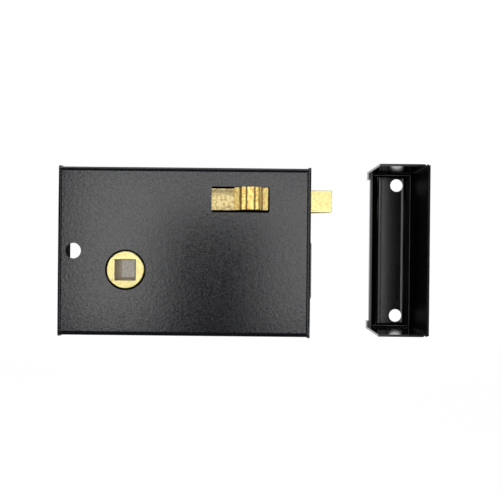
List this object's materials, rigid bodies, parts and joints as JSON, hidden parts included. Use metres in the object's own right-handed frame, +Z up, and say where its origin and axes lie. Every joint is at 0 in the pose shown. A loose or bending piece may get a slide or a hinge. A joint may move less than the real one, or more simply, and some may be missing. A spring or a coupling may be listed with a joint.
{
  "type": "rim latch",
  "caption": "Surface-mounted spring latch in a folded steel case, with a thumb slide, a socket for a square spindle, a bevelled bolt and a separate box keep.",
  "frame": {"origin": "where the spindle's axis meets the plane of the door's face, at the back of the case", "axes": "+X along the bolt towards the keep, +Y into the door, +Z up"},
  "size_m": [0.1661, 0.037, 0.0783],
  "materials": {
    "black_paint": "black satin paint with fine orange peel",
    "cast_brass": "cast brass, faces filed, edges left rough",
    "brass_wire": "drawn brass",
    "plated_steel": "dull zinc plate",
    "spring_steel": "drawn spring wire"
  },
  "bodies": {
    "case_body": {"case": "black_paint", "keep": "black_paint", "back_cap": "plated_steel", "forend_plate": "black_paint", "forend_rivets": "plated_steel", "upper_post": "plated_steel", "lower_left_post": "plated_steel", "lower_right_post": "plated_steel", "cap_screws": "plated_steel", "guide_post": "plated_steel", "guide_washer": "plated_steel", "arm_stop": "plated_steel", "bolt_guide": "plated_steel", "spring_spigot": "plated_steel", "bolt_spring": "spring_steel"},
    "bolt_body": {"bolt": "cast_brass", "thumb_slide": "cast_brass", "thumb_rivets": "brass_wire"},
    "follower_body": {"follower": "cast_brass"}
  },
  "joints": [
    {"name": "follower_turn", "type": "hinge", "parent": "case_body", "child": "follower_body", "pos_m": [0, -0.01, 0], "axis": [0, -1, 0], "range_deg": [0, 25.2]},
    {"name": "bolt_slide", "type": "slide", "parent": "case_body", "child": "bolt_body", "axis": [1, 0, 0], "range_m": [-0.0095, 0], "stiffness_N_per_m": 300, "springref_m": 0.015, "deforming": ["bolt_spring"]}
  ],
  "couplings": [
    {"joint": "follower_turn", "follows": "bolt_slide", "rad_per_m": -46.19}
  ]
}
